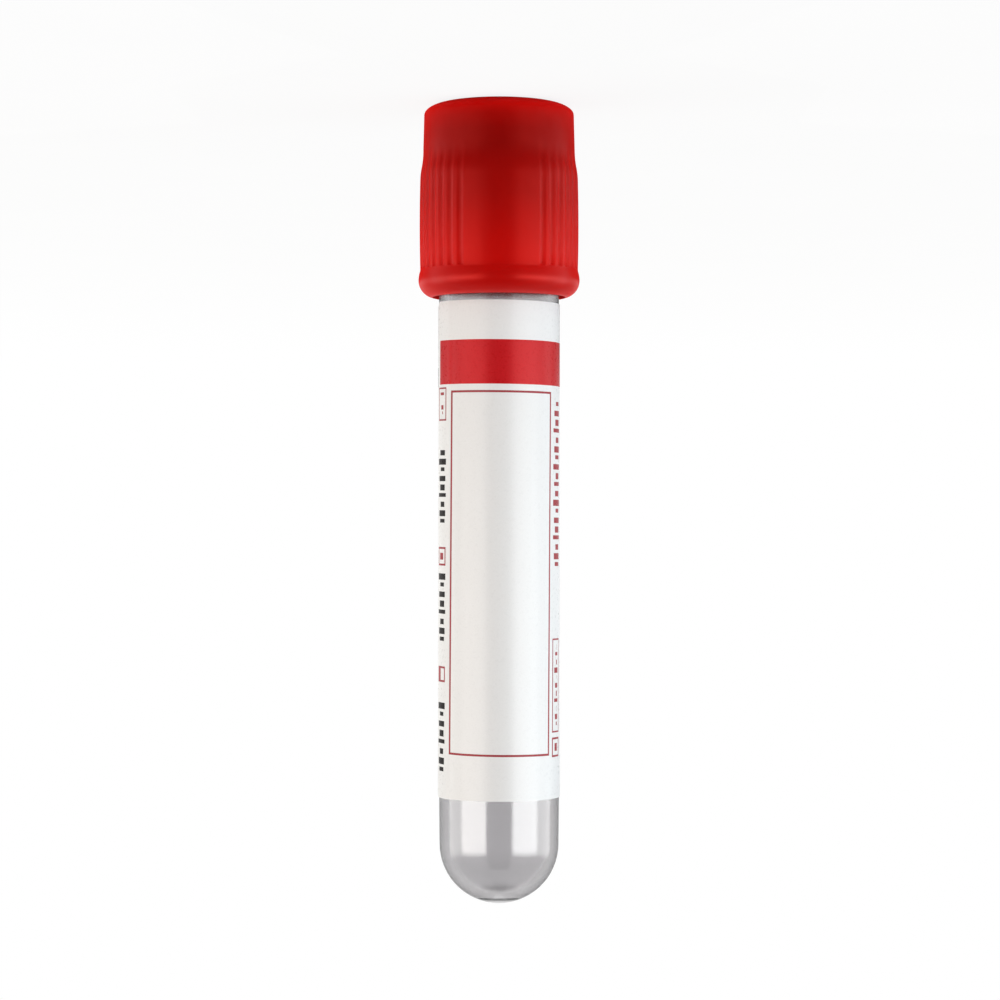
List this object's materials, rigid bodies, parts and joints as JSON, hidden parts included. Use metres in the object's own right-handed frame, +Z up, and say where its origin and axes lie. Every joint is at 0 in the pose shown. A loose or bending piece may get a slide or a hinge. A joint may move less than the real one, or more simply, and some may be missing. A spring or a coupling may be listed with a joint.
{
  "type": "blood collection tube",
  "caption": "Clear round-ended plastic tube with a wrapped paper label, closed by a rubber stopper in a red fluted push-on cap; stands on its cap.",
  "frame": {"origin": "on the tube's axis in the plane of the cap's flat top face, on which the object stands", "axes": "+Z up along the tube's axis, from the cap's top face towards the tube's round end; the label's framed writing panel faces -Y; +X is on the left of someone who faces that panel with the cap held uppermost"},
  "size_m": [0.0166, 0.0166, 0.0823],
  "materials": {
    "red_plastic": "satin-gloss translucent moulded plastic",
    "stopper_rubber": "matt moulded rubber",
    "clear_plastic": "clear polished moulded plastic with a slight grey cast",
    "label_paper": "smooth coated paper with red and black print fields"
  },
  "bodies": {
    "closure": {"cap": "red_plastic", "stopper": "stopper_rubber"},
    "tube_body": {"tube": "clear_plastic", "label": "label_paper"}
  },
  "joints": [
    {"name": "closure_pull_off", "type": "slide", "parent": "closure", "child": "tube_body", "axis": [0, 0, 1], "range_m": [0, 0.025]}
  ]
}
